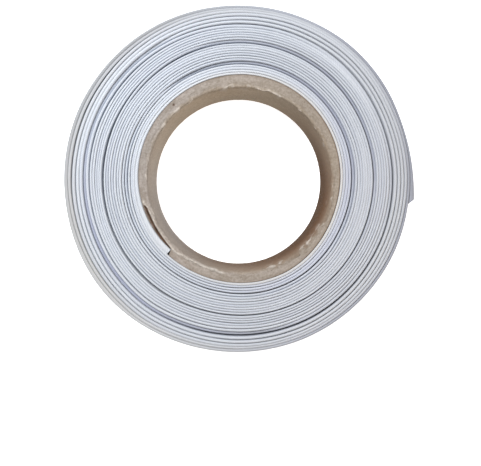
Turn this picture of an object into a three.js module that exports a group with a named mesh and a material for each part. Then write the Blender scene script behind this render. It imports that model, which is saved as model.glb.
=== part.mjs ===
// A roll of bias tape: white satin tape, folded single fold, wound clockwise on a ring of
// cardboard tube and lying flat on its side.
// Millimetres. +Z is up along the roll's axis, and the origin is the winding's middle, at the
// surface that the roll lies on. Angles are in degrees, counter-clockwise from +X seen from
// above.

import * as THREE from "three";

// Driving dimensions
const TAPE_WIDTH = 20; // folded tape, on edge, so also the roll's height
const CORE_BORE_RADIUS = 19; // a standard 38 mm core
const CORE_MIDDLE = { x: 0.3, y: -0.2 }; // the tube sits a little off the winding's middle
const CORE_HEIGHT = 19.9; // sawn a touch shorter than the tape is wide
const CORE_RIM_WEAR = 0.35; // the bore's rims are rubbed round
const CLEARANCE = 0.3; // between pieces
const FOLD_ROUNDING = 0.25; // the folded edges at the roll's four rims

// The tape's start is tucked in over the core, whose outer ply it has pressed in.
const START_ANGLE = 225.5; // the tape's cut start
const DENT_ANGLE = 226.6; // the end of the dent that it lies in
const START_TUCK = 1.15; // how far in the start reaches at its cut end
const START_TUCK_EVEN = 0.45; // and along the stretch before it
const START_FLARE_FADES = 200; // where the flare at the cut has run out
const START_TUCK_EASES = 180; // where the even stretch starts to run out
const START_TUCK_FADES = 125; // where the first turn runs true again

// The last turn's end stands off the roll.
const LOOSE_FROM = 30;
const LOOSE_TO = -7.5;
const LOOSE_THICKNESS = 1;
const LOOSE_EDGE_FLAT = 0.5; // width of the flat along each of its folded edges
const LOOSE_RADIUS = 35.72; // its outside, where it leaves the roll
const LOOSE_SPRING = 0.78; // how much further out its cut end stands
const LOOSE_CUT_SLANT = 1.3; // degrees that the cut end is shorter on its outside
const RECESS_FROM = 31; // the place that it leaves free on the roll
const RECESS_TO = -10.5;

// The winding's form, a row for every 45 degrees from 0. Each column is a radius: of the line
// between core and tape, of the four open gaps between bands of turns, and of the rim.
const FORM_STEP = 45;
const FORM = [
  { core: 21.1, innerGap: 23.64, middleGap: 28.07, splitGap: 31.26, outerGap: 31.96, rim: 35.46 },
  { core: 21.55, innerGap: 24.0, middleGap: 28.22, splitGap: 31.4, outerGap: 32.19, rim: 35.86 },
  { core: 21.5, innerGap: 24.1, middleGap: 28.3, splitGap: 31.36, outerGap: 32.34, rim: 35.66 },
  { core: 21.1, innerGap: 23.67, middleGap: 27.96, splitGap: 30.9, outerGap: 32.14, rim: 35.56 },
  { core: 21.1, innerGap: 23.18, middleGap: 27.83, splitGap: 30.6, outerGap: 32.03, rim: 35.66 },
  { core: 21.25, innerGap: 23.61, middleGap: 28.18, splitGap: 31.13, outerGap: 32.36, rim: 36.08 },
  { core: 21.37, innerGap: 23.69, middleGap: 28.2, splitGap: 30.95, outerGap: 32.22, rim: 35.69 },
  { core: 21.26, innerGap: 23.88, middleGap: 28.24, splitGap: 31.0, outerGap: 32.19, rim: 35.52 },
];

// The gaps from the core outwards: half their width, their depth where they are closed and where
// they stand open, the middle and half the length of the open stretch, and how far the band just
// inside the gap lies under the tape's full width.
const GAPS = [
  { column: "innerGap", half: 0.3, shallow: 1.2, deep: 2.2, middle: 60, reach: 120, low: 0.25 },
  { column: "middleGap", half: 0.32, shallow: 1.4, deep: 3.0, middle: 215, reach: 100, low: 0 },
  { column: "splitGap", half: 0.22, shallow: 0.2, deep: 2.0, middle: 205, reach: 70, low: 0.1 },
  { column: "outerGap", half: 0.28, shallow: 1.0, deep: 2.8, middle: 325, reach: 90, low: 0.3 },
];
const OUTER_BAND_LOW = 0.12;
const GAP_STAYS_OPEN = 0.6; // share of the reach over which a gap keeps its full depth
const GAP_CLOSES = 1.3; // and share of it at which the gap has closed

const RING_STEPS = 96;
const LOOSE_STEPS = 14;
const HAIR = 0.2; // degrees from a sudden step to the sections on both sides of it

const CARDBOARD = { color: 0xab9e90, roughness: 0.9, metalness: 0 };
const SATIN = { color: 0xe3e6ee, roughness: 0.45, metalness: 0 };

const radians = THREE.MathUtils.degToRad;
const turned = (angle) => THREE.MathUtils.euclideanModulo(angle, 360);
const eased = (value, from, to) => THREE.MathUtils.smoothstep(value, from, to);

// A column of the form at any angle, on a smooth closed curve through its eight values.
function formAt(column, angle) {
  const place = turned(angle) / FORM_STEP;
  const row = Math.floor(place);
  const values = [-1, 0, 1, 2].map((k) => FORM[(row + k + FORM.length) % FORM.length][column]);
  const [before, from, to, after] = values;
  const t = place - row;
  const slopeIn = (to - before) / 2;
  const slopeOut = (after - from) / 2;
  const bend = 2 * (from - to) + slopeIn + slopeOut;
  const curve = 3 * (to - from) - 2 * slopeIn - slopeOut;
  return from + t * (slopeIn + t * (curve + t * bend));
}

// The line between core and tape. The tape's start reaches in over the core: nothing before it
// fades in, an even stretch, and a flare up to the place where it ends.
function coreLine(angle, end) {
  const line = formAt("core", angle);
  if (angle < START_TUCK_FADES || angle > end) {
    return line;
  }
  const even = START_TUCK_EVEN * eased(angle, START_TUCK_FADES, START_TUCK_EASES);
  const flare = (START_TUCK - START_TUCK_EVEN) * eased(angle, START_FLARE_FADES, end);
  return line - even - flare;
}

// The outside of the loose end: it springs out more and more towards its cut.
function looseRadius(angle) {
  const along = (LOOSE_FROM - angle) / (LOOSE_FROM - LOOSE_TO);
  const t = THREE.MathUtils.clamp(along, 0, 1);
  return LOOSE_RADIUS + LOOSE_SPRING * t * t;
}

// The roll's rim, set back where the loose end lies over it.
function rimLine(angle) {
  const signed = angle > 180 ? angle - 360 : angle;
  if (signed > RECESS_FROM || signed < RECESS_TO) {
    return formAt("rim", angle);
  }
  return looseRadius(signed) - LOOSE_THICKNESS - CLEARANCE;
}

// The core's bore, a circle off the winding's middle, as a radius from that middle.
function boreLine(angle) {
  const along = CORE_MIDDLE.x * Math.cos(radians(angle)) + CORE_MIDDLE.y * Math.sin(radians(angle));
  return CORE_BORE_RADIUS + along;
}

// A gap's depth: deep over its open stretch, easing to shallow beyond it.
function gapDepth(gap, angle) {
  const away = Math.abs(turned(angle - gap.middle + 180) - 180);
  const closed = eased(away, gap.reach * GAP_STAYS_OPEN, gap.reach * GAP_CLOSES);
  return gap.deep + (gap.shallow - gap.deep) * closed;
}

// Even angles round the ring, with a close pair at each sudden step.
function ringAngles(steps) {
  const even = Array.from({ length: RING_STEPS }, (_, k) => (k * 360) / RING_STEPS);
  const clear = even.filter((a) => steps.every((s) => Math.abs(a - turned(s)) > 2 * HAIR));
  const pairs = steps.flatMap((s) => [turned(s - HAIR), turned(s + HAIR)]);
  return [...clear, ...pairs].sort((a, b) => a - b);
}

// A closed ring: sections of [radius, height] points, one for each angle, joined side by side.
function sweptRing(angles, sectionAt) {
  const sections = angles.map(sectionAt);
  const count = sections[0].length;
  const positions = [];
  const index = [];
  sections.forEach((section, i) => {
    const next = (i + 1) % sections.length;
    section.forEach(([radius, height], j) => {
      const around = radians(angles[i]);
      const up = (j + 1) % count;
      positions.push(radius * Math.cos(around), radius * Math.sin(around), height);
      index.push(i * count + j, next * count + j, next * count + up);
      index.push(i * count + j, next * count + up, i * count + up);
    });
  });
  return solidFrom(positions, index);
}

function solidFrom(positions, index) {
  const geometry = new THREE.BufferGeometry();
  geometry.setAttribute("position", new THREE.Float32BufferAttribute(positions, 3));
  geometry.setIndex(index);
  geometry.computeVertexNormals();
  return geometry;
}

function piece(name, geometry, finish) {
  const mesh = new THREE.Mesh(geometry, new THREE.MeshStandardMaterial(finish));
  mesh.name = name;
  return mesh;
}

// The cardboard ring, with its outer ply pressed in under the tape's start.
function makeCore() {
  const section = (angle) => {
    const bore = boreLine(angle);
    const outside = coreLine(angle, DENT_ANGLE) - CLEARANCE / 2;
    return [
      [bore + CORE_RIM_WEAR, 0],
      [outside, 0],
      [outside, CORE_HEIGHT],
      [bore + CORE_RIM_WEAR, CORE_HEIGHT],
      [bore, CORE_HEIGHT - CORE_RIM_WEAR],
      [bore, CORE_RIM_WEAR],
    ];
  };
  return piece("core", sweptRing(ringAngles([DENT_ANGLE]), section), CARDBOARD);
}

// The wound tape. Across its top run the bands of turns, each with its own height, parted by
// the open gaps. Its base has the same gaps and is otherwise flat.
function makeTapeRoll() {
  const section = (angle) => {
    const inside = coreLine(angle, START_ANGLE) + CLEARANCE / 2;
    const rim = rimLine(angle);
    const base = [[inside + FOLD_ROUNDING, 0]];
    const top = [[inside + FOLD_ROUNDING, TAPE_WIDTH - GAPS[0].low]];
    GAPS.forEach((gap, k) => {
      const radius = formAt(gap.column, angle);
      const depth = gapDepth(gap, angle);
      const beyond = k + 1 < GAPS.length ? GAPS[k + 1].low : OUTER_BAND_LOW;
      base.push([radius - gap.half, 0], [radius, depth], [radius + gap.half, 0]);
      top.push([radius - gap.half, TAPE_WIDTH - gap.low]);
      top.push([radius, TAPE_WIDTH - gap.low - depth]);
      top.push([radius + gap.half, TAPE_WIDTH - beyond]);
    });
    base.push([rim - FOLD_ROUNDING, 0]);
    top.push([rim - FOLD_ROUNDING, TAPE_WIDTH - OUTER_BAND_LOW]);
    const outerWall = [
      [rim, FOLD_ROUNDING],
      [rim, TAPE_WIDTH - OUTER_BAND_LOW - FOLD_ROUNDING],
    ];
    const innerWall = [
      [inside, TAPE_WIDTH - GAPS[0].low - FOLD_ROUNDING],
      [inside, FOLD_ROUNDING],
    ];
    return [...base, ...outerWall, ...top.reverse(), ...innerWall];
  };
  const angles = ringAngles([START_ANGLE, RECESS_FROM, RECESS_TO]);
  return piece("tape_roll", sweptRing(angles, section), SATIN);
}

// The last stretch of the tape: a sheet on edge with round folds, its cut a little slanted.
function makeLooseEnd() {
  const half = LOOSE_THICKNESS / 2;
  const edge = LOOSE_EDGE_FLAT / 2;
  const section = [
    [-edge, 0],
    [edge, 0],
    [half, FOLD_ROUNDING],
    [half, TAPE_WIDTH - FOLD_ROUNDING],
    [edge, TAPE_WIDTH],
    [-edge, TAPE_WIDTH],
    [-half, TAPE_WIDTH - FOLD_ROUNDING],
    [-half, FOLD_ROUNDING],
  ];
  const count = section.length;
  const positions = [];
  const index = [];
  for (let i = 0; i <= LOOSE_STEPS; i += 1) {
    const along = i / LOOSE_STEPS;
    const angle = LOOSE_TO + (LOOSE_FROM - LOOSE_TO) * along;
    const middle = looseRadius(angle) - half;
    section.forEach(([out, height], j) => {
      const slant = (LOOSE_CUT_SLANT * (out / half) * (1 - along)) / 2;
      const around = radians(angle + slant);
      const radius = middle + out;
      positions.push(radius * Math.cos(around), radius * Math.sin(around), height);
      if (i < LOOSE_STEPS) {
        const here = i * count + j;
        const up = i * count + ((j + 1) % count);
        index.push(here, here + count, up + count, here, up + count, up);
      }
    });
  }
  const last = LOOSE_STEPS * count;
  for (let j = 1; j < count - 1; j += 1) {
    index.push(0, j, j + 1);
    index.push(last, last + j + 1, last + j);
  }
  return piece("loose_end", solidFrom(positions, index), SATIN);
}

const roll = new THREE.Group();
roll.add(makeCore(), makeTapeRoll(), makeLooseEnd());

export default roll;
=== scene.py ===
# %% [markdown]
# A roll of white satin bias tape lies flat on its side and is seen from straight above. The packed
# solids come in first: they set the size and the place of everything. Each solid is then replaced
# by a finer surface that lies where the solid does.

import bpy
import numpy as np
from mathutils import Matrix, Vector


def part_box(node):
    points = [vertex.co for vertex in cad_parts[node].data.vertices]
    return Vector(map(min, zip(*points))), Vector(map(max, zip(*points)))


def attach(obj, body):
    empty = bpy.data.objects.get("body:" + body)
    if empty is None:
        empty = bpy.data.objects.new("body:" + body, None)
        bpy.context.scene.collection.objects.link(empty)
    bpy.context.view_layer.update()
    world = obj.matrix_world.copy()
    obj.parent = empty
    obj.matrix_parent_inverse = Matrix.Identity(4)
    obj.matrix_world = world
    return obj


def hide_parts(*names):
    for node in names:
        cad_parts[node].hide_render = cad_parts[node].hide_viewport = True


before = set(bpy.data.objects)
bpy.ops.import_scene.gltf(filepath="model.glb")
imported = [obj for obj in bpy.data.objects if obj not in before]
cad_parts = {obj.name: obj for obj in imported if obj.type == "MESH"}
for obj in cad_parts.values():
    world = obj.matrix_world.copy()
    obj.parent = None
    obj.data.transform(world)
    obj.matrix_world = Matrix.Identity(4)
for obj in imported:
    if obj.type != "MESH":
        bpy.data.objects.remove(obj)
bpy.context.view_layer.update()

MM = 0.001  # metres

# %% [markdown]
# Every shape here is a formula of two numbers: how far round or along the tape, and how far round
# the section. The next cell holds the few curves that the formulas share. They all take whole
# numpy arrays, so that no loop runs over single points.

# %% Curves that the pieces share
def away(angle, at):
    """Signed degrees from at to angle, the short way round."""
    return np.mod(angle - at + 180, 360) - 180


def eased(value, low, high):
    """0 up to low, 1 from high on, and 3 t^2 - 2 t^3 between them, t being the share of the way."""
    t = np.clip((value - low) / (high - low), 0, 1)
    return t * t * (3 - 2 * t)


def window(value, low, high, ease):
    """1 between low and high, eased to 0 over the length ease just inside both ends."""
    return eased(value, low, low + ease) * (1 - eased(value, high - ease, high))


def hills(base, rows, angle):
    """base plus a bell curve for each row: its place and spread in degrees, and its height."""
    at, spread, height = np.array(rows, float).T[:, :, None]
    return base + (height * np.exp(-0.5 * (away(angle[None], at) / spread) ** 2)).sum(0)


def patches(rows, turn, angle):
    """A bell-shaped patch on the strip for each row: its turn and spread in turns, its place and
    spread in degrees, and its height."""
    at, turns, degrees, spread, height = np.array(rows, float).T[:, :, None]
    steps = ((turn - at) / turns) ** 2 + (away(angle, degrees) / spread) ** 2
    return (height * np.exp(-0.5 * steps)).sum(0)


def between(rows, value):
    """Straight lines through the rows, each a place and the value there."""
    places, values = np.array(rows, float).T
    return np.interp(value, places, values)


def soft_noise(shape, spreads, seed):
    """White noise blurred by a Gaussian of the given spread in samples along each axis, and scaled
    to a deviation of 1. Both axes close on themselves, so a ring shows no seam."""
    spectrum = np.fft.fft2(np.random.default_rng(seed).standard_normal(shape))
    across = np.exp(-2 * (np.pi * np.fft.fftfreq(shape[0]) * spreads[0]) ** 2)
    along = np.exp(-2 * (np.pi * np.fft.fftfreq(shape[1]) * spreads[1]) ** 2)
    field = np.real(np.fft.ifft2(spectrum * across[:, None] * along[None]))
    return field / field.std()


tape_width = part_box("loose_end")[1].z / MM
core_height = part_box("core")[1].z / MM
print("tape width and core height, mm:", round(tape_width, 2), round(core_height, 2))

# %% [markdown]
# The tape is one strip, so the winding is one spiral. It starts tucked in over the core and runs
# outwards clockwise for a little under 25 turns. A plain spiral with even turns would look
# machined. The real one was wound by hand tension: its turns are tighter near the core, it stands
# open in four places, and core and rim are a little out of round. So the spiral is summed up from
# a short table of the pitch, turn by turn, and then fitted between the two uneven lines.

# %% The tape's path
START_ANGLE = 226.6  # degrees, counter-clockwise from +X, where the cut start lies
END_ANGLE = 352.0  # where the cut outer end lies
WHOLE_TURNS = 25
TURNS = WHOLE_TURNS - (END_ANGLE - START_ANGLE) / 360

# The core's outer line and the roll's rim: degrees, spread in degrees, height in mm.
CORE_LINE = 20.23
CORE_HILLS = ((72, 46, 0.93), (294, 20, 0.41), (165, 26, 0.14), (235, 16, -0.14), (345, 16, -0.19))
RIM_LINE = 34.8
RIM_HILLS = ((222, 16, 0.23), (236, 7, 0.19), (47, 14, 0.14), (22, 9, -0.12), (300, 70, 0.29))
# The outer face of the last turn, in the same columns.
OUTSIDE_LINE = 35.84
OUTSIDE_HILLS = ((222, 16, 0.42), (47, 14, 0.26), (335, 25, -0.14))
# The pitch: turn, mm from one turn to the next.
PITCH = ((0, 0.53), (3, 0.52), (6, 0.54), (9, 0.54), (12, 0.53), (16.5, 0.54), (17.5, 0.62),
         (19, 0.68), (20, 0.74), (21, 0.71), (22, 0.68), (23, 0.62), (23.6, 0.55), (27, 0.5))
START_FLARE = 0.64  # mm that the fold springs open wider at the cut start
START_FLARE_TURNS = 0.35  # turns over which that fades
START_FLARE_CURVE = 1.5  # and the power with which it does

# Where the winding stands open: turn, mm of air just inside it.
OPEN_GAPS = ((4.2, 0), (4.35, 0.2), (4.9, 0.2), (5.1, 0.1), (5.25, 0), (12.2, 0), (12.3, 0.28),
             (12.65, 0.28), (12.8, 0.2), (12.93, 0.22), (12.98, 0.38), (13.18, 0.38), (13.3, 0),
             (17.75, 0), (17.9, 0.18), (18.25, 0.18), (18.35, 0), (19.2, 0), (19.35, 0.18),
             (19.65, 0.2), (19.75, 0.24), (19.9, 0.24), (20, 0))

# Where a band of turns bulges out or in: turn, turns of spread, degrees, degrees of spread, mm.
BULGES = ((7, 6, 350, 32, 0.24), (10, 9, 290, 32, 0.22), (10, 9, 90, 22, 0.22),
          (22.5, 1.8, 62, 28, 0.42), (18.5, 3.5, 195, 30, -0.34), (2, 1.2, 180, 18, -0.3),
          (22, 1.6, 280, 30, 0.2), (21.7, 1.3, 150, 28, -0.3))
# Shares of the winding, at the core and at the rim, over which the bulges fade.
BULGE_FADES = (0.15, 0.1)


def spiral(per_turn):
    """The tape's inner line. The pitch is summed up turn on turn, which gives each place a
    distance from the first turn, and that distance is scaled so that the first turn lies on the
    core's line and the last on the rim's. Bulges that are 0 at both lines bend the middle turns.
    Returns turn, angle in degrees, and radius and the fold's own pitch in mm."""
    rows = WHOLE_TURNS + 2
    turn = np.arange(rows * per_turn).reshape(rows, per_turn) / per_turn
    flare = START_FLARE * np.clip(1 - turn / START_FLARE_TURNS, 0, 1) ** START_FLARE_CURVE
    own = between(PITCH, turn) + flare
    gap = between(OPEN_GAPS, turn + 1)
    first = own[0, 0] * turn[0]
    built = first + np.vstack([np.zeros(per_turn), np.cumsum((own + gap)[:-1], axis=0)])
    turn, built = turn.ravel(), built.ravel()
    angle = START_ANGLE - 360 * turn
    # What is built up by the last turn at each angle, without that turn's own climb, so that it
    # closes on itself.
    past_end = np.mod(END_ANGLE - angle, 360) / 360
    last_turn = np.interp(TURNS, turn, built) - np.interp(TURNS - 1, turn, built)
    full = np.interp(TURNS - 1 + past_end, turn, built) - last_turn * past_end
    core = hills(CORE_LINE, CORE_HILLS, angle)
    spread = hills(RIM_LINE, RIM_HILLS, angle) - core
    share = built / full
    fade = eased(share, 0, BULGE_FADES[0]) * eased(1 - share, 0, BULGE_FADES[1])
    bulge = patches(BULGES, turn, angle) * fade
    return turn, angle, core + spread * share + bulge, own.ravel() * spread / full


PER_TURN = 168  # steps
all_turn, all_angle, all_radius, all_pitch = spiral(PER_TURN)
# Length of the tape up to each step, in mm.
round_steps = all_radius[1:] * 2 * np.pi / PER_TURN
run = np.concatenate([[0], np.cumsum(np.hypot(np.diff(all_radius), round_steps))])
print("turns:", round(TURNS, 2), "tape length, m:", round(np.interp(TURNS, all_turn, run) * MM, 2))

# %% [markdown]
# A few small tools put the arrays into Blender. One lists the four corners of each cell of a grid,
# with numbers that run on past the seam, so that a texture map needs no jump there. Another fills
# a mesh with foreach_set, which takes a whole array at once and is far quicker than adding faces
# one by one. It first works out the volume, because a surface whose faces point inwards encloses
# less than nothing, and its light would come out wrong.

# %% Arrays into meshes
SHARP_EDGE = 50  # degrees


def grid_corners(rows, columns):
    """Row and column numbers of the four corners of each cell, in two arrays of cells by 4."""
    row, column = np.meshgrid(np.arange(rows), np.arange(columns), indexing="ij")
    row, column = row.ravel()[:, None], column.ravel()[:, None]
    return row + np.array([0, 1, 1, 0]), column + np.array([0, 0, 1, 1])


def volume(points, faces):
    """Signed volume under the fans of all faces: a third of each triangle's height times area."""
    first = points[faces[:, 0]]
    fans = range(1, faces.shape[1] - 1)
    parts = [np.cross(points[faces[:, k]], points[faces[:, k + 1]]) for k in fans]
    return sum((first * part).sum() for part in parts) / 6


def mesh_piece(name, points, face_sets, uv_sets, material):
    """A piece at the origin, from points in mm, face corners as arrays of faces by corners, and a
    texture point in mm for each corner. Faces that enclose less than nothing are turned over, and
    edges past SHARP_EDGE stay crisp."""
    if sum(volume(points, faces) for faces in face_sets) < 0:
        face_sets = [faces[:, ::-1] for faces in face_sets]
        uv_sets = [uvs[:, ::-1] for uvs in uv_sets]
    mesh = bpy.data.meshes.new(name)
    sizes = np.concatenate([np.full(len(faces), faces.shape[1]) for faces in face_sets])
    corners = np.concatenate([faces.ravel() for faces in face_sets])
    mesh.vertices.add(len(points))
    mesh.vertices.foreach_set("co", (points * MM).ravel())
    mesh.loops.add(len(corners))
    mesh.loops.foreach_set("vertex_index", corners)
    mesh.polygons.add(len(sizes))
    mesh.polygons.foreach_set("loop_start", np.cumsum(sizes) - sizes)
    mesh.polygons.foreach_set("use_smooth", np.ones(len(sizes), bool))
    mesh.update(calc_edges=True)
    layer = mesh.uv_layers.new(name="cloth")
    layer.data.foreach_set("uv", np.concatenate([uvs.reshape(-1, 2) for uvs in uv_sets]).ravel())
    mesh.set_sharp_from_angle(angle=np.radians(SHARP_EDGE))
    mesh.validate()
    mesh.materials.append(material)
    piece = bpy.data.objects.new(name, mesh)
    bpy.context.scene.collection.objects.link(piece)
    print(name, "triangles:", int((sizes - 2).sum()))
    return piece


def point_tints_and_shade(piece, colours):
    """Stores a linear colour for each point of the piece, its tint together with any painted light and
    shade, which its material reads as tint.
    """
    rgba = np.column_stack([colours, np.ones(len(colours))])
    layer = piece.data.attributes.new("tint", "FLOAT_COLOR", "POINT")
    layer.data.foreach_set("color", rgba.ravel())


def polar(angle, radius, height):
    """Points from degrees, mm out and mm up, as an array with x, y and z last."""
    around = np.radians(angle)
    return np.stack([radius * np.cos(around), radius * np.sin(around), height], axis=-1)


print("edges stay crisp past, degrees:", SHARP_EDGE)

# %% [markdown]
# Materials are built from nodes. Colours are picked as sRGB hex values, which is how a screen or a
# colour card names them, and turned into the linear values that the shader adds up with light.
# One helper adds a node with its settings and links, so that each material reads as a short list.

# %% Colours and nodes
def linear(hex_colour):
    """sRGB hex to linear RGBA: below 0.04045 a straight line, above it a power of 2.4."""
    part = np.array([int(hex_colour[k:k + 2], 16) for k in (1, 3, 5)]) / 255
    low, high = part / 12.92, ((part + 0.055) / 1.055) ** 2.4
    return (*np.where(part <= 0.04045, low, high), 1.0)


def mixed(colours, hex_colour, share):
    """The colours, each moved towards the hex colour by its share."""
    return colours + np.clip(share, 0, 1)[..., None] * (np.array(linear(hex_colour)[:3]) - colours)


def new_material(name):
    """An empty material with its Principled shader, ready to be wired."""
    material = bpy.data.materials.new(name)
    material.use_nodes = True
    return material, material.node_tree, material.node_tree.nodes["Principled BSDF"]


def socket(sockets, name):
    """The socket of that name that is in use: a Mix node has one for each type of data."""
    return next(s for s in sockets if s.enabled and s.name == name)


def add(tree, kind, links=None, values=None, **settings):
    """Adds a node and returns its output. links maps its inputs to outputs, values sets them, and
    an output of another name than the first is asked for with output=."""
    output = settings.pop("output", None)
    node = tree.nodes.new(kind)
    for name, value in settings.items():
        setattr(node, name, value)
    for name, value in (values or {}).items():
        place = node.inputs[name] if isinstance(name, int) else socket(node.inputs, name)
        place.default_value = value
    for name, source in (links or {}).items():
        place = node.inputs[name] if isinstance(name, int) else socket(node.inputs, name)
        tree.links.new(source, place)
    shown = [s for s in node.outputs if s.enabled]
    return socket(node.outputs, output) if output else shown[0]


print("half grey in linear light:", round(float(linear("#808080")[0]), 3))

# %% [markdown]
# Bias tape is a strip cut at 45 degrees to the weave, here in polyester satin. Satin's long
# floating threads lie side by side and give it a soft broad gleam, so the roughness is middling
# and a little sheen is added. The threads cross the tape aslant, because of the bias cut. Real
# ones are about 0.1 mm apart, which is finer than the picture can show, so they are drawn coarser.
# A pattern laid through plain space would cut straight across the folds. So the texture map is in mm,
# along the tape and round its section, and the threads follow the folds. The cloth's own colour drifts
# along the tape, and patches of painted shade are mixed into it, so both are stored on the mesh as a
# tint.

# %% Satin
THREAD_SHADE = "#9ba1ad"
THREAD_CONTRAST = 0.4
THREAD_SPACING = 0.36  # mm, drawn three to four times as coarse as real
THREAD_BUMP = 0.06  # mm
BANDS_PER_UNIT = 10 / (2 * np.pi)  # of Blender's wave texture at scale 1


def make_satin():
    """The tint stored on the piece, with its painted shade, darkened between the threads, which also
    give the bump.
    """
    material, tree, shader = new_material("white polyester satin")
    cloth = add(tree, "ShaderNodeUVMap", uv_map="cloth")
    tint = add(tree, "ShaderNodeAttribute", attribute_name="tint", output="Color")
    threads = add(
        tree, "ShaderNodeTexWave", {"Vector": cloth},
        {"Scale": 1 / (BANDS_PER_UNIT * np.sqrt(2) * THREAD_SPACING), "Distortion": 1.2,
         "Detail": 2.0, "Detail Scale": 1.5},
        bands_direction="DIAGONAL", output="Fac",
    )
    slubs = add(tree, "ShaderNodeTexNoise", {"Vector": cloth}, {"Scale": 0.9, "Detail": 4.0})
    weave = add(tree, "ShaderNodeMath", {0: threads, 1: slubs}, operation="MULTIPLY")
    between_threads = add(
        tree, "ShaderNodeMix", {"Factor": weave, "B": tint}, {"A": linear(THREAD_SHADE)},
        data_type="RGBA",
    )
    cloth_tone = add(
        tree, "ShaderNodeMix", {"A": tint, "B": between_threads}, {"Factor": THREAD_CONTRAST},
        data_type="RGBA",
    )
    bump = add(
        tree, "ShaderNodeBump", {"Height": weave}, {"Strength": 0.5, "Distance": THREAD_BUMP * MM}
    )
    tree.links.new(cloth_tone, shader.inputs["Base Color"])
    tree.links.new(bump, shader.inputs["Normal"])
    shader.inputs["Roughness"].default_value = 0.4
    shader.inputs["IOR"].default_value = 1.5
    shader.inputs["Sheen Weight"].default_value = 0.15
    shader.inputs["Sheen Roughness"].default_value = 0.4
    return material


satin = make_satin()
print("threads drawn", THREAD_SPACING, "mm apart")

# %% [markdown]
# Hand tension and handling leave no two turns alike. Some stand a little lower, their folds lean a
# little in or out or are pressed flat, and some stretches have sunk into an open gap. Noise laid
# over the finished surface would look like crumpled foil. So these differences are worked out
# along the tape, one value for each step of its path. A turn drags its neighbours with it, so the
# broad random changes of height and lean are mixed with those one turn before and one turn after.

# %% Uneven turns
# How far the top fold lies under the tape's full width: turn, mm.
BAND_DROP = ((0, 0.2), (3.6, 0.2), (5.2, 0.0), (12.2, 0.0), (13.8, 0.1), (17.2, 0.1), (17.6, 0.2),
             (18.4, 0.25), (19.4, 0.12), (25, 0.12))
# Sunken stretches: first turn, last turn, mm.
SUNKEN = ((3.86, 4.25, 0.4), (4.25, 4.75, 0.6), (4.75, 5.2, 0.45), (12.3, 12.68, 0.45),
          (18.8, 19.34, 0.55), (18.45, 18.7, 0.35), (17.42, 17.58, 0.2), (19.8, 20.0, 0.3),
          (24.3, 24.7, 0.2))
SUNKEN_EASE = 0.06  # turns over which a stretch sinks

FOLD_SHARE = 0.88  # of the pitch that a loose fold fills, the rest being air
FOLD_RISE = 0.3  # mm that a loose fold is domed
PRESSED_SHARE = 0.99  # the same two where the turns press each other flat
PRESSED_RISE = 0.06
# Where the folds are pressed flat: turn, turns of spread, degrees, degrees of spread, share.
PRESSED = ((0.7, 0.35, 330, 90, 0.9), (2.6, 0.9, 345, 45, 0.85), (2.0, 1.2, 90, 50, 0.7),
           (8.5, 3.0, 352, 28, 0.75), (9.0, 5.0, 290, 35, 0.3), (17.5, 1.0, 43, 16, 0.95),
           (15.0, 1.5, 10, 25, 0.4), (23.9, 0.8, 165, 50, 0.85), (24.1, 0.6, 60, 40, 0.7),
           (22.3, 1.6, 135, 40, 0.5), (11.0, 7.0, 115, 35, 0.3))
START_SWELL = 0.14  # mm that the fold is wider still at the cut start
START_SWELL_TURNS = 0.12  # turns over which that fades
LAST_TURN_EASE = 0.05  # turns over which the last turn comes to its own outer line

# Noise along the tape: its size, degrees of spread, seed and share of the neighbouring turns.
DROP_NOISE = ((0.05, 25, 1, 0.5), (0.015, 3, 2, 0.0))  # mm
LIFT_NOISE = ((0.06, 30, 3, 0.5),)  # mm
LEAN_NOISE = ((0.02, 18, 4, 0.5), (0.008, 3, 5, 0.0))  # mm
WIDTH_NOISE = ((0.04, 20, 6, 0.0),)  # share of the width


def along_tape(rows):
    """The rows' noise added up at each step of the path. Each field is blurred over its spread,
    the fields one turn before and after are added by their share, and all is scaled to its size."""
    total = np.zeros(len(all_turn))
    for size, spread, seed, neighbours in rows:
        field = soft_noise((1, len(all_turn)), (0, spread * PER_TURN / 360), seed)[0]
        field = field + neighbours * (np.roll(field, PER_TURN) + np.roll(field, -PER_TURN))
        total = total + size * (field / field.std())
    return total


sunken = sum(deep * window(all_turn, low, high, SUNKEN_EASE) for low, high, deep in SUNKEN)
all_drop = np.clip(between(BAND_DROP, all_turn) + sunken + along_tape(DROP_NOISE), 0, None)
all_lift = np.clip(along_tape(LIFT_NOISE), 0, None)
all_lean = along_tape(LEAN_NOISE)
pressed = np.clip(patches(PRESSED, all_turn, all_angle), 0, 1)
all_rise = FOLD_RISE + (PRESSED_RISE - FOLD_RISE) * pressed
fold_share = FOLD_SHARE + (PRESSED_SHARE - FOLD_SHARE) * pressed
all_width = np.minimum(fold_share * (1 + along_tape(WIDTH_NOISE)), PRESSED_SHARE) * all_pitch
all_width = all_width + START_SWELL * np.clip(1 - all_turn / START_SWELL_TURNS, 0, 1)
last_width = hills(OUTSIDE_LINE, OUTSIDE_HILLS, all_angle) - all_radius
on_last_turn = eased(all_turn, TURNS - 1, TURNS - 1 + LAST_TURN_EASE)
all_width = all_width + (last_width - all_width) * on_last_turn
wound = all_turn <= TURNS
print("fold width, mm:", np.round([all_width[wound].min(), all_width[wound].max()], 2).tolist())

# %% [markdown]
# Single fold tape has both raw edges folded to the middle of one side, where a narrow gap stays
# between them. Wound on edge, each turn shows one fold at the top: a thin round ridge, with the
# shade between two turns as a fine dark line. The whole tape could be a flat strip with a bump,
# but then the ridges would not shade each other, and the cut ends would not show the fold. So the
# closed outline of the folded strip, base ply, two folds and two flaps, is carried along the
# spiral.

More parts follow.
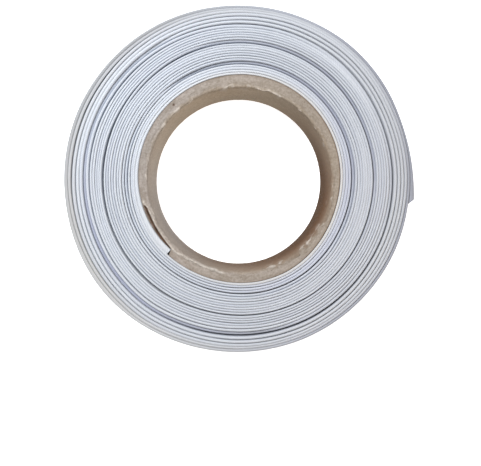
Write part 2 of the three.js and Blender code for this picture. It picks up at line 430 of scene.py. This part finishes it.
# %% Section of the folded tape
PLY = 0.17  # mm of satin
FLAP = 8.4  # mm from the fold to the flap's raw edge
RAGGED_NOISE = ((0.12, 40, 11, 0.0),)  # mm that the raw edges stray, in the columns above
CROWN_PLIES = 1.1  # plies from the top of a fold to its inside
CROWN_SHARE = 0.95  # and the most of the fold's rise that they take
OVER_POINTS = 7  # round the top fold
UNDER_POINTS = 5  # round the lower fold
LEAN_FROM = 0.5  # share of the tape's width above which the lean sets in


def folded_outline(width, rise, top, bottom, flap_high, flap_low):
    """The folded strip's outline, as mm outwards and mm up for each place along it. It goes up
    the base ply's inner face, over the top fold on half an ellipse, down the flap to its raw edge
    and back up inside the fold, down the base ply's other face, and the same way round the lower
    fold."""
    width, top, bottom = width[:, None], top[:, None], bottom[:, None]
    high, low, rise = flap_high[:, None], flap_low[:, None], rise[:, None]
    crown = np.minimum(CROWN_PLIES * PLY, CROWN_SHARE * rise)
    over = np.linspace(0, np.pi, OVER_POINTS)[None]
    under = np.linspace(np.pi, 0, UNDER_POINTS)[None]
    out = [
        width / 2 * (1 - np.cos(over)), width, width - PLY, width - PLY, width / 2, PLY + 0 * width,
        PLY + 0 * width, width / 2, width - PLY, width - PLY, width, width / 2 * (1 - np.cos(under)),
    ]
    up = [
        top - rise * (1 - np.sin(over)), high, high, top - rise, top - crown, top - rise,
        bottom + rise, bottom + crown, bottom + rise, low, low, bottom + rise * (1 - np.sin(under)),
    ]
    return np.hstack(out), np.hstack(up)


def tape_piece(name, turn, angle, inner, width, rise, drop, lift, lean, slant):
    """Carries the outline along the path. drop and lift lower the top fold and raise the lower
    one, lean moves the top fold outwards, and slant turns the outer side of the cut back."""
    ragged = np.interp(turn, all_turn, along_tape(RAGGED_NOISE))
    out, up = folded_outline(
        width, rise, tape_width - drop, lift, tape_width - FLAP - drop + ragged, FLAP + lift - ragged
    )
    out = out + lean[:, None] * eased(up, LEAN_FROM * tape_width, tape_width)
    step_out = np.diff(out, axis=1, append=out[:, :1])
    step_up = np.diff(up, axis=1, append=up[:, :1])
    girth = np.cumsum(np.hypot(step_out, step_up), axis=1)
    girth = np.hstack([np.zeros((len(turn), 1)), girth])
    turned_back = slant[:, None] * out / width[:, None]
    points = polar(angle[:, None] + turned_back, inner[:, None] + out, up).reshape(-1, 3)
    count = out.shape[1]
    row, column = grid_corners(len(turn) - 1, count)
    sides = row * count + column % count
    length = np.interp(turn, all_turn, run)
    side_uvs = np.stack([length[row], girth[row, column]], axis=-1)
    first, last = np.arange(count)[None], (len(turn) - 1) * count + np.arange(count)[None]
    cut_uvs = np.stack([out, up], axis=-1)
    return mesh_piece(
        name, points, [sides, first, last[:, ::-1]],
        [side_uvs, cut_uvs[:1], cut_uvs[-1:, ::-1]], satin,
    )


print("ply and flap, mm:", PLY, FLAP)

# %% [markdown]
# The winding itself ends where the last stretch of tape leaves the roll. White satin yellows and greys
# with handling, and the first turns took a creamy cast from the cardboard. Some outer turns are greyer
# and beige at the left. The turns sunk in the open gaps, the last turn along the roll's rim, and broad
# stretches at the upper left and lower right are painted greyer as shade. One white all round would
# look like plastic. So such patches, of tint and of painted shade, are mixed into it one after
# another.

# %% The wound tape
LOOSE_FROM = 30.0  # degrees, where the free end starts
LOOSE_TURN = TURNS - np.mod(LOOSE_FROM - END_ANGLE, 360) / 360
SATIN_WHITE = "#f3f6f9"
SATIN_SHADE = "#d8dde6"
SHADE_SHARE = 0.25  # of the shade in the white, on average
TINT_NOISE = ((0.25, 60, 7, -0.3),)  # and how that share drifts, unlike on neighbouring turns

# Patches of tint and of painted shade: colour, turn, turns of spread, degrees, degrees of spread,
# share.
# The lilac patches at turns 3, 4.5, 12.5 and 19 are painted shade, the last three on turns that sink
# into the open gaps. The broad grey-blue patch at the upper left and the broad grey one at the lower
# right are painted shade, the first with a cool cast. The grey at turn 21.5 on the right and the dark
# greys on the last turn are painted shade on the outer turns and the roll's rim. The others make the
# first turns creamier and turns 22.6 and 23.6 greyer and beige at the left.
SATIN_TINTS_AND_SHADE = (
    ("#d2d8e2", 12.0, 12.0, 128, 38, 0.5),
    ("#c9c7ca", 14.0, 20.0, 328, 66, 0.6), ("#f2ebe1", 0.4, 0.7, 350, 80, 0.9),
    ("#d4d5e6", 3.0, 0.9, 340, 50, 0.6), ("#8e8fa1", 4.5, 0.22, 45, 55, 0.75),
    ("#9293a2", 12.5, 0.2, 45, 60, 0.7), ("#a2a4ba", 19.0, 0.28, 215, 50, 0.8),
    ("#d8d6d4", 21.5, 2.2, 350, 45, 0.7), ("#dcd7ce", 23.6, 1.0, 205, 50, 0.95),
    ("#c4c3c4", 22.6, 1.2, 112, 26, 0.5), ("#8f8c87", 24.3, 0.95, 130, 42, 0.9),
    ("#a6a6ae", 24.5, 0.5, 45, 28, 0.85), ("#8d8a92", 24.0, 0.7, 328, 44, 0.85),
    ("#98979e", 24.4, 0.45, 8, 32, 0.9),
)


def paint_tape(piece, turn):
    """White, a little darker or lighter from turn to turn, then each patch of tint and of painted
    shade. Each step of the path has one colour all round the section."""
    angle = START_ANGLE - 360 * turn
    colours = np.tile(linear(SATIN_WHITE)[:3], (len(turn), 1))
    drift = SHADE_SHARE + np.interp(turn, all_turn, along_tape(TINT_NOISE))
    colours = mixed(colours, SATIN_SHADE, drift)
    # each patch, tints and painted shade alike
    for tint, *patch in SATIN_TINTS_AND_SHADE:
        colours = mixed(colours, tint, patches((patch,), turn, angle))
    point_tints_and_shade(piece, np.repeat(colours, len(piece.data.vertices) // len(turn), axis=0))


def tape_values(turn):
    """Angle, inner radius, width, rise, drop, lift and lean at each turn."""
    return [np.interp(turn, all_turn, values) for values in
            (all_angle, all_radius, all_width, all_rise, all_drop, all_lift, all_lean)]


def wind_tape():
    """The outline carried from the cut start to where the free end leaves."""
    turn = np.append(all_turn[all_turn < LOOSE_TURN], LOOSE_TURN)
    piece = tape_piece("wound_tape", turn, *tape_values(turn), slant=0 * turn)
    paint_tape(piece, turn)
    return piece


wound_tape = wind_tape()
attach(wound_tape, "root")
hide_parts("tape_roll")

# %% [markdown]
# Nothing holds the last centimetres down. The base ply still hugs the roll, but the flap springs
# away from it towards the cut, so the fold grows wider and flatter there. It could be bent out as
# a whole, but then a gap would open under it that the photograph does not show. So it is the same
# outline on the same spiral, only with its own width.

# %% The free end
LOOSE_STEPS = 40
LOOSE_START_RADIUS = 35.72  # mm, its outside where it leaves the roll
LOOSE_SPRING = 0.97  # mm further out that the cut stands
LOOSE_CURVE = 2.4  # power of the way along it with which the outside springs away
LOOSE_FILLS = 0.45  # share of the way over which the fold widens to that outside
LOOSE_RISE = 0.8  # of a loose fold's rise, at the cut
LOOSE_REACH = 0.4  # degrees that the cut reaches past END_ANGLE
CUT_SLANT = 1.8  # degrees that the flap is shorter than the base ply
CUT_SLANT_CURVE = 4  # power of the way with which that shows


def make_free_end():
    """The outline from where the tape leaves the roll to its cut. The outside's radius grows by a
    power of the share of the way, and the width fills what lies between it and the spiral."""
    turn = np.linspace(LOOSE_TURN, TURNS, LOOSE_STEPS)
    along = (turn - LOOSE_TURN) / (TURNS - LOOSE_TURN)
    angle, inner, width, rise, drop, lift, lean = tape_values(turn)
    to_outside = LOOSE_START_RADIUS + LOOSE_SPRING * along ** LOOSE_CURVE - inner
    width = width + (to_outside - width) * eased(along, 0.0, LOOSE_FILLS)
    rise = rise + (LOOSE_RISE * FOLD_RISE - rise) * along
    slant = CUT_SLANT * along ** CUT_SLANT_CURVE
    angle = angle - LOOSE_REACH * along
    piece = tape_piece("free_end", turn, angle, inner, width, rise, drop, lift, lean, slant)
    paint_tape(piece, turn)
    return piece


free_end = make_free_end()
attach(free_end, "root")
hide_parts("loose_end")

# %% [markdown]
# The core is a ring sawn from a spiral tube of kraft paper. A saw leaves the plies of the cut face
# fibrous and mottled, with the inner rim a little torn, while the bore keeps the smooth face of
# the innermost ply. A turned profile would be too even, so the ring is one closed grid, and noise
# can be laid over it as whole arrays: streaks round the cut face, small lumps at the rim. At the
# tape's start the outer ply has split off, which leaves a dark crack with a torn lip.

# %% The cardboard ring
RING_STEPS = 720
OUTSIDE_HEIGHTS = (0.0, 0.5, 0.99)  # shares of the ring's height, up its outside
FACE_STEPS = 30
RIM_STEPS = 7
BORE_STEPS = 20
BASE_STEPS = 5
BORE_RADIUS = 19.0
BORE_MIDDLE = (0.3, -0.2)  # mm off the winding's axis
CORE_GAP = 0.08  # mm between the cardboard and the first turn
RIM_WEAR = 0.45  # mm, the round of the bore's rims
# Where that round is worn unevenly: degrees, spread in degrees, share of the wear.
CHIPPED = ((312, 20, 0.75), (80, 20, 0.3), (256, 5, 0.4))
CHIPPED_ELSEWHERE = 0.25
CHIP_SPREAD, CHIP_SEED = (3, 0), 27
LEAST_WEAR, MOST_WEAR = 0.35, 1.9  # shares of the wear
HOLLOW_ENDS = 228.0  # degrees, where the hollow beyond the tape's cut start closes

# The split in the outer ply, and the torn line that runs on from it: degrees, radius in mm.
SPLIT = ((194, 20.08), (195.6, 20.02), (198, 19.72), (204, 19.66), (211, 19.69), (220, 19.8),
         (226, 19.94), (230, 19.76), (235, 19.47), (240, 19.36), (246, 19.36), (253, 19.44),
         (260, 19.63), (264, 19.7))
SPLIT_FROM = 194.5  # degrees
SPLIT_TO = 227.5
TORN_LINE_TO = 263.0
SPLIT_EASE = 12  # degrees beyond both ends over which the plies' line comes to the split
PLY_LINE = 0.45  # share of the wall where the plies part elsewhere


def ring_lines(angle):
    """The bore, the split and the outside, as radii. The outside follows the first turn's inner
    line, which ends in a small hollow at the cut start."""
    around = np.radians(angle)
    bore = BORE_RADIUS + BORE_MIDDLE[0] * np.cos(around) + BORE_MIDDLE[1] * np.sin(around)
    turn = np.mod(START_ANGLE - angle, 360) / 360
    first = np.interp(turn, all_turn, all_radius)
    step = np.interp(1.0, all_turn, all_radius) - all_radius[0]
    past_cut = np.mod(angle - START_ANGLE, 360)
    hollow = step * (1 - eased(past_cut, 0.0, HOLLOW_ENDS - START_ANGLE))
    outside = first - CORE_GAP - hollow
    parted = window(angle, SPLIT_FROM - SPLIT_EASE, TORN_LINE_TO + SPLIT_EASE, SPLIT_EASE)
    plain = bore + PLY_LINE * (outside - bore)
    split = plain + (between(SPLIT, angle) - plain) * parted
    return bore, split, outside


def make_core():
    """Radius and height of each grid point, a row for each angle. Round the section it goes up
    the outside, in over the cut face to the split and on to the worn rim, down the bore and back
    out under the base. The upper rim is worn unevenly."""
    angle = np.arange(RING_STEPS) * 360 / RING_STEPS
    bore, split, outside = (line[:, None] for line in ring_lines(angle))
    chips = soft_noise((RING_STEPS, 1), CHIP_SPREAD, CHIP_SEED)
    chipped = hills(CHIPPED_ELSEWHERE, CHIPPED, angle)[:, None] * chips
    wear = RIM_WEAR * np.clip(1 + chipped, LEAST_WEAR, MOST_WEAR)
    edge, upper_edge = bore + RIM_WEAR, bore + wear
    share = np.linspace(0, 1, FACE_STEPS // 2 + 1)[None]
    quarter = np.linspace(0, np.pi / 2, RIM_STEPS)[None]
    along_base = np.linspace(0, 1, BASE_STEPS)[None]
    radius = np.hstack([
        outside + np.zeros((1, len(OUTSIDE_HEIGHTS))),
        outside + (split - outside) * share,
        split + (upper_edge - split) * share[:, 1:],
        upper_edge - wear * np.sin(quarter[:, 1:]),
        bore + np.zeros((1, BORE_STEPS)),
        edge - RIM_WEAR * np.cos(quarter[:, 1:]),
        edge + (outside - edge) * along_base[:, 1:-1],
    ])
    height = np.hstack([
        np.array([OUTSIDE_HEIGHTS]) * core_height,
        np.full((1, FACE_STEPS + 1), core_height),
        core_height - RIM_WEAR * (1 - np.cos(quarter[:, 1:])),
        np.linspace(core_height - RIM_WEAR, RIM_WEAR, BORE_STEPS + 2)[None, 1:-1],
        RIM_WEAR * (1 - np.sin(quarter[:, 1:])),
        np.zeros((1, BASE_STEPS - 2)),
    ]) + np.zeros((RING_STEPS, 1))
    return angle, radius, height


core_angle, core_radius, core_up = make_core()
print("ring grid:", core_radius.shape)

# %% [markdown]
# Each kind of roughness is one blurred noise field over the grid, with its own spread along and
# across the plies. One noise for all would make the saw cut and the bore look like the same stuff.
# So the cut face gets low streaks and a fine grain, the rim gets torn lumps where a mask lets them
# through, and the bore only broad soft waves. The crack, its lip and a few marks are bell curves
# across lines on the cut face.

# %% Roughness of the cardboard
FACE_FIRST = len(OUTSIDE_HEIGHTS)
SPLIT_COLUMN = FACE_FIRST + FACE_STEPS // 2
FACE_LAST = FACE_FIRST + FACE_STEPS
RIM_LAST = FACE_LAST + RIM_STEPS - 1
BORE_LAST = RIM_LAST + BORE_STEPS

# Noise on the grid: spread in steps along the plies, spread across them, seed.
LUMPS = (2.0, 1.2, 23)
STREAKS = (5.0, 4.0, 21)
GRAIN = (1.2, 0.8, 22)
WAVES = (24, 6, 24)
LIP_RAGGED = (2.5, 0, 25)
LIP_WAVY = (3.5, 0, 28)
LIP_RAGGED_SHARE = 0.35
LIP_WAVY_SIZE = 0.05  # mm

# Where the inner rim is torn: degrees, spread in degrees, share of the rim torn.
TORN = ((290.5, 1.6, 1.0), (313, 1.3, 0.9), (317.5, 1.0, 1.0), (329.5, 1.8, 1.0), (298, 2.0, 0.6),
        (255.5, 1.6, 0.8), (66, 3.0, 0.7), (84, 6.0, 0.7), (98, 2.0, 0.6), (131.5, 2.0, 0.7),
        (144, 1.2, 0.9), (200, 3.0, 0.5))
TORN_COLUMN, TORN_SPREAD = 2.5, 3.2  # columns past the cut face where lumps lie, and their spread
LUMPS_SHARE, TORN_SHARE = 0.6, 1.9  # of the noise and of the list above in the lumps
TORN_SHOWS = (0.6, 1.5)  # their sum where a lump starts to show, and where it is whole
# Marks in the cut face: degrees and radius in mm, spread along and across it in mm.
PIT = (130.9, 20.15, 0.17, 0.17)
LOOSE_FIBRES = (194.6, 19.95, 0.5, 0.2)
# Where the crack, its torn lip and the furrow behind the lip lie off the split, and how far they
# spread, in mm.
CRACK_OFF, CRACK_SPREAD = 0.1, 0.16
LIP_OFF, LIP_SPREAD = -0.22, 0.15
FURROW_OFF, FURROW_SPREAD = -0.22, 0.08  # off the lip
LIP_SHIFTS = (222, 232)  # degrees, between which the lip moves onto the split's own line
SPLIT_FADE = 3  # degrees over which the crack and the lip start and end

# How far each feature stands up from the cut face or, below 0, sinks under it, in mm.
RISES = {
    "streaks": 0.02, "grain": 0.02, "torn": 0.14, "fibres": 0.2, "pit": -0.3, "lip": 0.22,
    "furrow": -0.08, "groove": -0.42, "sliver": -0.06,
}
WAVES_INWARD, GRAIN_INWARD, TORN_INWARD = 0.03, 0.008, 0.1  # mm into the bore

# Where the roughness of the cut face and of the bore and the sliver outside the crack lie: first
# and last column, columns of ease.
FACE_COLUMNS = (FACE_FIRST - 1, RIM_LAST + 2, 2)
BORE_COLUMNS = (RIM_LAST - 2, BORE_LAST + 3, 3)
SLIVER_COLUMNS = (FACE_FIRST - 1, SPLIT_COLUMN, 2)

grid_column = np.arange(core_radius.shape[1])[None]
on_face = window(grid_column, *FACE_COLUMNS)
in_bore = window(grid_column, *BORE_COLUMNS)


def grid_noise(along, across, seed):
    """Noise over the whole grid."""
    return soft_noise(core_radius.shape, (along, across), seed)


def ring_noise(along, across, seed):
    """Noise round the ring, the same across all columns."""
    return soft_noise((RING_STEPS, 1), (along, across), seed)


def near_column(column, spread):
    """A bell curve across the plies, 1 at the column."""
    return np.exp(-0.5 * ((grid_column - column) / spread) ** 2)


def near_line(radius, spread):
    """A bell curve across the cut face, 1 on a line of the given radius."""
    return on_face * np.exp(-0.5 * ((core_radius - radius) / spread) ** 2)


def mark(degrees, radius, along, across):
    """A bell-shaped spot on the cut face."""
    beside = np.radians(away(core_angle, degrees))[:, None] * radius / along
    return near_line(radius, across) * np.exp(-0.5 * beside ** 2)


lumps = grid_noise(*LUMPS)
streaks = grid_noise(*STREAKS)
grain = grid_noise(*GRAIN)
waves = grid_noise(*WAVES)
at_rim = near_column(FACE_LAST + TORN_COLUMN, TORN_SPREAD)
torn_places = hills(0.0, TORN, core_angle)[:, None]
torn = at_rim * eased(LUMPS_SHARE * lumps + TORN_SHARE * torn_places, *TORN_SHOWS)
along_split = window(core_angle, SPLIT_FROM, SPLIT_TO, SPLIT_FADE)[:, None]
along_line = window(core_angle, SPLIT_FROM, TORN_LINE_TO, SPLIT_FADE)[:, None]
lip_ragged = 1 + LIP_RAGGED_SHARE * ring_noise(*LIP_RAGGED)
lip_wavy = LIP_WAVY_SIZE * ring_noise(*LIP_WAVY)
split_line = ring_lines(core_angle)[1][:, None]
lip_line = split_line + LIP_OFF * (1 - eased(core_angle[:, None], *LIP_SHIFTS)) + lip_wavy
groove = along_split * near_line(split_line + CRACK_OFF, CRACK_SPREAD)
lip = along_line * near_line(lip_line, LIP_SPREAD) * lip_ragged
furrow = along_line * near_line(lip_line + FURROW_OFF, FURROW_SPREAD)
sliver = along_split * window(grid_column, *SLIVER_COLUMNS)
pit = mark(*PIT)
fibres = mark(*LOOSE_FIBRES)
features = {
    "streaks": on_face * streaks, "grain": on_face * grain, "torn": torn, "fibres": fibres,
    "pit": pit, "lip": lip, "furrow": furrow, "groove": groove * lip_ragged, "sliver": sliver,
}
core_rise = sum(RISES[name] * feature for name, feature in features.items())
core_inward = in_bore * (WAVES_INWARD * waves + GRAIN_INWARD * grain) + TORN_INWARD * torn
print("cut face uneven by, mm:", round(float(core_rise.min()), 2), round(float(core_rise.max()), 2))

# %% [markdown]
# Sawn kraft board is grey where the saw dragged its fibres up, palest on a freshly torn lump, and
# darker in the sliver outside the split. A brown line of painted shade runs along its outer edge
# against the tape and behind the split's torn lip, and the crack and a pit are painted dark as shade.
# Its warmer right and greyer left are painted light. The bore keeps the colour of its inner ply. It is
# painted paler on the left, where light falls on it, browner at the lower right, partly a stain and
# partly painted shade, and painted darker towards its foot and lighter towards its top. A noise
# texture alone would put such stains anywhere. So these tints and the painted light and shade are
# mixed on the grid, from the same fields as the shape, and the material adds only the fine fibres.

# %% Cardboard
KRAFT_CUT = "#c6bab0"
KRAFT_CUT_DARK = "#a69a8d"
KRAFT_CUT_WARM_LIGHT = "#b7a690"
KRAFT_CUT_COOL_LIGHT = "#a9a29c"
KRAFT_BORE = "#b5a590"
KRAFT_BORE_LIT = "#c8c2bd"
KRAFT_BORE_BROWN_AND_SHADE = "#613c1b"
KRAFT_BORE_DEEP_SHADE = "#432a12"
KRAFT_TORN = "#e3d9cd"
# Dark brown painted in the crack and the pit as the shade in their hollows.
KRAFT_CRACK_SHADE = "#6a5040"
KRAFT_SLIVER = "#94857b"
# A brown for painted shade along the tape and behind the torn lip; it also darkens the cut face by the
# split.
KRAFT_SHADE_BROWN = "#7d6450"
# Stains and painted light of the cut face: colour, degrees, degrees of spread, share. The warm patch
# at the right and the grey one at the left are painted light, warm light from the right and cool from
# the left.
FACE_STAINS_AND_LIGHT = (
    (KRAFT_CUT_WARM_LIGHT, 10, 45, 0.6), (KRAFT_CUT_COOL_LIGHT, 165, 40, 0.5), (KRAFT_CUT_DARK, 300, 50, 0.4),
    (KRAFT_CUT_DARK, 52, 26, 0.75), (KRAFT_SHADE_BROWN, 210, 15, 0.35),
)
# Stains and painted light and shade of the bore: degrees, degrees of spread, share. The brown at the
# lower right is partly a stain and partly painted shade, on the wall that faces away from the light;
# the pale on the left is painted light, on the wall that faces it.
BROWN_STAIN_AND_SHADE = ((322, 36, 1.0), (5, 30, 0.42), (255, 20, 0.35))
PALE_LIT_WALL = ((205, 36, 0.85),)
# Painted light: the bore is less brown towards its top, as more light reaches it there.
BROWN_FADE = 0.35  # how much less brown the bore is at its top
# Painted shade at the foot and painted light at the top.
BORE_SHADE = ((0, 0.9), (1, 1.12))  # its lightness at the foot and at the top, times its colour
STAIN_OVERLAP = (8, 4)  # columns of cut face and of bore over which one colour turns to the other
# Painted shade: a brown line on the cut face where it meets the tape, strongest at the right.
CONTACT_SHADE_LINE = ((0, 50, 0.75),)  # the brown line against the tape, in the same columns
CONTACT_ELSEWHERE, CONTACT_COLUMNS = 0.15, 1.6  # its share elsewhere, and its spread

# Shares of a tint, and of painted shade, where each feature is whole.
DARK_SHARE, DARK_STREAKS, DARK_GRAIN = 0.45, 0.28, 0.15  # of the darker cut
# The furrow's share paints brown shade behind the torn lip.
SLIVER_TINT, FURROW_SHADE = 0.6, 0.6
# The waves tint the bore's own brown at random; the second share paints shade at the foot of the brown
# wall.
WAVES_TINT, DEEP_SHADE_TINT = 0.06, 0.85  # of the browns in the bore
TORN_TINT, LIP_TINT = 0.75, 1.5
# shares of that painted shade in the crack and the pit
GROOVE_SHADE, PIT_SHADE = 1.4, 0.9
FIBRE_SHADE = "#6b5b4c"
FIBRE_CONTRAST = 0.5
FIBRE_SIZE = 0.45  # mm, drawn several times as coarse as real
FIBRE_BUMP = 0.12  # mm


def paint_core():
    """The cut face and the bore, each with its stains and its painted light and shade by angle, then
    torn lumps, and the crack and the pit painted dark as shade.
    """
    shape = (*core_radius.shape, 1)
    face = np.tile(linear(KRAFT_CUT)[:3], shape)
    face = mixed(face, KRAFT_CUT_DARK, DARK_SHARE + DARK_STREAKS * streaks + DARK_GRAIN * grain)
    # each stain, the painted warm and cool light among them
    for tint, *stain in FACE_STAINS_AND_LIGHT:
        face = mixed(face, tint, hills(0.0, (stain,), core_angle)[:, None])
    face = mixed(face, KRAFT_SLIVER, SLIVER_TINT * sliver)
    # painted shade in the furrow behind the torn lip
    face = mixed(face, KRAFT_SHADE_BROWN, FURROW_SHADE * furrow)
    # painted shade along the cut face's outer edge, against the tape
    contact_shade = hills(CONTACT_ELSEWHERE, CONTACT_SHADE_LINE, core_angle)[:, None]
    face = mixed(face, KRAFT_SHADE_BROWN, contact_shade * near_column(FACE_FIRST, CONTACT_COLUMNS))
    bore = np.tile(linear(KRAFT_BORE)[:3], shape)
    # the brown at the lower right, partly a stain and partly painted shade
    brown = hills(0.0, BROWN_STAIN_AND_SHADE, core_angle)[:, None]
    near_top = 1 - eased(grid_column, RIM_LAST, BORE_LAST)
    # painted light: the left wall paler, as lit
    bore = mixed(bore, KRAFT_BORE_LIT, hills(0.0, PALE_LIT_WALL, core_angle)[:, None])
    bore = mixed(bore, KRAFT_BORE_BROWN_AND_SHADE, brown * (1 - BROWN_FADE * near_top) + WAVES_TINT * waves)
    # painted shade towards the foot of the brown wall
    bore = mixed(bore, KRAFT_BORE_DEEP_SHADE, DEEP_SHADE_TINT * brown * (1 - near_top))
    # painted shade at the foot and painted light at the top
    bore = bore * between(BORE_SHADE, near_top)[..., None]
    stained = eased(grid_column, FACE_LAST - STAIN_OVERLAP[0], RIM_LAST + STAIN_OVERLAP[1])[..., None]
    colours = face + stained * (bore - face)
    colours = mixed(colours, KRAFT_TORN, TORN_TINT * torn + LIP_TINT * lip + fibres)
    # painted shade in the crack and the pit
    return mixed(colours, KRAFT_CRACK_SHADE, GROOVE_SHADE * groove + PIT_SHADE * pit)


def make_cardboard():
    """The tint stored on the piece, with its painted light and shade, darkened between the fibres,
    which also give the bump.
    """
    material, tree, shader = new_material("grey-tan kraft cardboard")
    place = add(tree, "ShaderNodeTexCoord", output="Object")
    tint = add(tree, "ShaderNodeAttribute", attribute_name="tint", output="Color")
    fibre_noise = add(
        tree, "ShaderNodeTexNoise", {"Vector": place},
        {"Scale": 1 / (FIBRE_SIZE * MM), "Detail": 6.0, "Roughness": 0.65}, output="Fac",
    )
    raised = add(
        tree, "ShaderNodeMapRange", {"Value": fibre_noise}, {"From Min": 0.3, "From Max": 0.65}
    )
    between_fibres = add(
        tree, "ShaderNodeMix", {"Factor": raised, "B": tint}, {"A": linear(FIBRE_SHADE)},
        data_type="RGBA",
    )
    board_tone = add(
        tree, "ShaderNodeMix", {"A": tint, "B": between_fibres}, {"Factor": FIBRE_CONTRAST},
        data_type="RGBA",
    )
    bump = add(
        tree, "ShaderNodeBump", {"Height": fibre_noise}, {"Strength": 0.5, "Distance": FIBRE_BUMP * MM}
    )
    tree.links.new(board_tone, shader.inputs["Base Color"])
    tree.links.new(bump, shader.inputs["Normal"])
    shader.inputs["Roughness"].default_value = 0.95
    shader.inputs["IOR"].default_value = 1.45
    shader.inputs["Specular IOR Level"].default_value = 0.12
    return material


CELL = (0.17, 0.1)  # mm round and across, about the size of a cell, for the texture map


def build_core():
    """The ring from its grid, closed on itself both round the axis and round the section."""
    points = polar(core_angle[:, None], core_radius - core_inward, core_up + core_rise)
    rows, columns = core_radius.shape
    row, column = grid_corners(rows, columns)
    faces = (row % rows) * columns + column % columns
    uvs = np.stack([row * CELL[0], column * CELL[1]], axis=-1)
    piece = mesh_piece("cardboard_ring", points.reshape(-1, 3), [faces], [uvs], make_cardboard())
    point_tints_and_shade(piece, paint_core().reshape(-1, 3))
    return piece


cardboard_ring = build_core()
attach(cardboard_ring, "root")
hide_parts("core")

# %% [markdown]


# %% [markdown]
# The roll is photographed on plain white. A grey floor under plain light would show darker inside
# the bore than beside the roll. So the floor is a large pale sheet that glows a little, enough to
# show white there too.

# %% Floor
FLOOR_HALF = 1500.0  # mm
FLOOR_GAP = 0.02  # mm under the roll
FLOOR_GLOW = 0.9


def make_floor():
    """A square sheet just under the roll, which the frame leaves out of the object."""
    material, _, shader = new_material("plain white paper floor")
    shader.inputs["Base Color"].default_value = linear("#f4f4f4")
    shader.inputs["Roughness"].default_value = 0.9
    shader.inputs["Emission Color"].default_value = linear("#ffffff")
    shader.inputs["Emission Strength"].default_value = FLOOR_GLOW
    corners = np.array([[-1, -1], [1, -1], [1, 1], [-1, 1]]) * FLOOR_HALF
    points = np.column_stack([corners, np.full(4, -FLOOR_GAP)])
    mesh = bpy.data.meshes.new("floor")
    mesh.from_pydata((points * MM).tolist(), [], [[0, 1, 2, 3]])
    mesh.materials.append(material)
    floor = bpy.data.objects.new("floor", mesh)
    bpy.context.scene.collection.objects.link(floor)


make_floor()
print("floor, mm under the roll:", FLOOR_GAP)

# %% [markdown]
# The light is soft and mostly from above. One even sky would leave the ridges flat. So a panel
# over the upper left makes the ridges bright there and lets them fall off towards the lower right.
# A weaker and warmer one, low and further out at the lower right, reaches the bore's upper left
# wall, and an even pale sky fills the rest.

# %% Light
SKY = "#e9eef5"
SKY_STRENGTH = 0.26
LIT_HEIGHT = 10.0  # mm up the axis, where the panels point
# Name, place in mm, side in mm, watts, colour.
PANELS = (
    ("main panel", (-110, 140, 250), 160, 0.95, "#f8fbff"),
    ("low panel", (320, -200, 200), 160, 0.6, "#fff4e6"),
)


def area_light(name, at, size, power, colour):
    """A square panel at a place in mm that faces the roll's middle."""
    data = bpy.data.lights.new(name, "AREA")
    data.shape = "SQUARE"
    data.size = size * MM
    data.energy = power
    data.color = linear(colour)[:3]
    light = bpy.data.objects.new(name, data)
    bpy.context.scene.collection.objects.link(light)
    light.location = np.array(at) * MM
    aim = Vector((0, 0, LIT_HEIGHT * MM)) - light.location
    light.rotation_euler = aim.to_track_quat("-Z", "Y").to_euler()


world = bpy.data.worlds.new("even sky")
world.use_nodes = True
world.node_tree.nodes["Background"].inputs["Color"].default_value = linear(SKY)
world.node_tree.nodes["Background"].inputs["Strength"].default_value = SKY_STRENGTH
bpy.context.scene.world = world
for panel in PANELS:
    area_light(*panel)
print("panels:", len(PANELS))

# %% [markdown]
# The camera looks straight down. The bore's lower edge shows smaller than its upper edge, and how
# much smaller gives the camera's height: about 15 cm over the roll. The point right under the
# camera isn't the picture's middle, so the lens is shifted.

# %% Camera
PHOTO_SIZE = (481, 466)
PIXEL = 0.206  # mm at the roll's top face
ROLL_MIDDLE_PIXEL = (237.8, 178.8)
UNDER_CAMERA_PIXEL = (232.0, 196.0)
CAMERA_OVER_TOP = 151.0  # mm
SENSOR = 36.0  # mm
CLIP_START = 10  # mm

scene = bpy.context.scene
camera_data = bpy.data.cameras.new("camera")
camera = bpy.data.objects.new("camera", camera_data)
scene.collection.objects.link(camera)
scene.camera = camera
under = np.array(UNDER_CAMERA_PIXEL) - np.array(ROLL_MIDDLE_PIXEL)
camera.location = Vector((under[0] * PIXEL, -under[1] * PIXEL, tape_width + CAMERA_OVER_TOP)) * MM
camera_data.sensor_width = SENSOR
camera_data.lens = SENSOR * CAMERA_OVER_TOP / (PHOTO_SIZE[0] * PIXEL)
middle = np.array(PHOTO_SIZE) / 2 - np.array(UNDER_CAMERA_PIXEL)
camera_data.shift_x = middle[0] / PHOTO_SIZE[0]
camera_data.shift_y = -middle[1] / PHOTO_SIZE[0]
camera_data.clip_start = CLIP_START * MM
scene.view_settings.view_transform = "Standard"
print("lens, mm:", round(camera_data.lens, 1))
